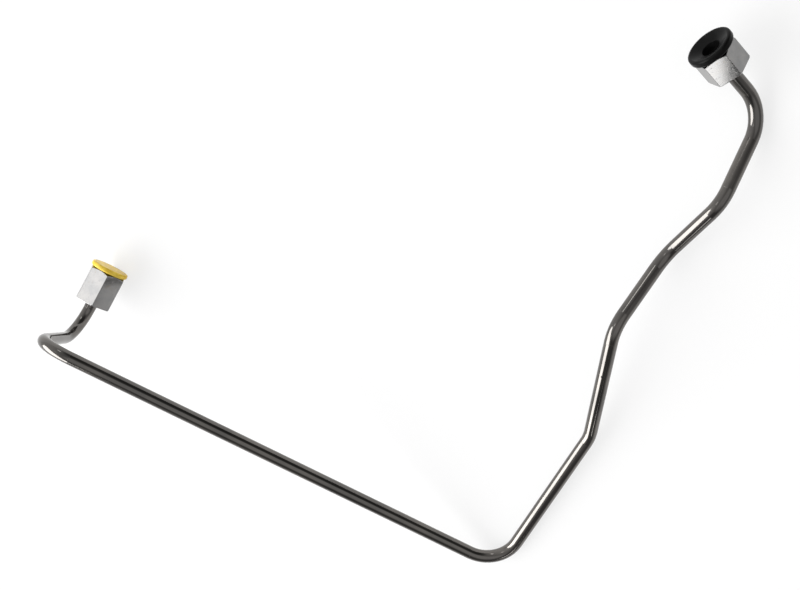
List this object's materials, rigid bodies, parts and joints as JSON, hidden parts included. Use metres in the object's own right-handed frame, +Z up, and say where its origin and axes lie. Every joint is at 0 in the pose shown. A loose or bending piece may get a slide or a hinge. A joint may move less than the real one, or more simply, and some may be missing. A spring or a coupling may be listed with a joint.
{
  "type": "bent tube assembly",
  "caption": "Rigid metal tube bent in several planes to a fixed route, with a captive hexagon union nut and a push-in dust plug at each end.",
  "frame": {"origin": "centre of the bounding box on the floor that the part lies on", "axes": "+X across from the inlet end to the outlet end, +Y from the elbow towards the outlet nut, +Z up from the floor"},
  "size_m": [0.3226, 0.2482, 0.0764],
  "materials": {
    "tube_steel": "bright dark drawn steel",
    "nut_steel": "bright plated",
    "yellow_plastic": "satin moulded plastic",
    "black_plastic": "glossy moulded plastic"
  },
  "bodies": {
    "line": {"tube": "tube_steel"},
    "inlet_union": {"inlet_nut": "nut_steel", "inlet_plug": "yellow_plastic"},
    "outlet_union": {"outlet_nut": "nut_steel", "outlet_plug": "black_plastic"}
  },
  "joints": [
    {"name": "inlet_swivel", "type": "hinge", "parent": "line", "child": "inlet_union", "pos_m": [-0.15239, -0.01649, 0.01509], "axis": [0.3664, 0.8787, -0.3061], "continuous": true},
    {"name": "outlet_swivel", "type": "hinge", "parent": "line", "child": "outlet_union", "pos_m": [0.1465, 0.108, 0.01261], "axis": [-0.5889, 0.6302, 0.506], "continuous": true}
  ]
}
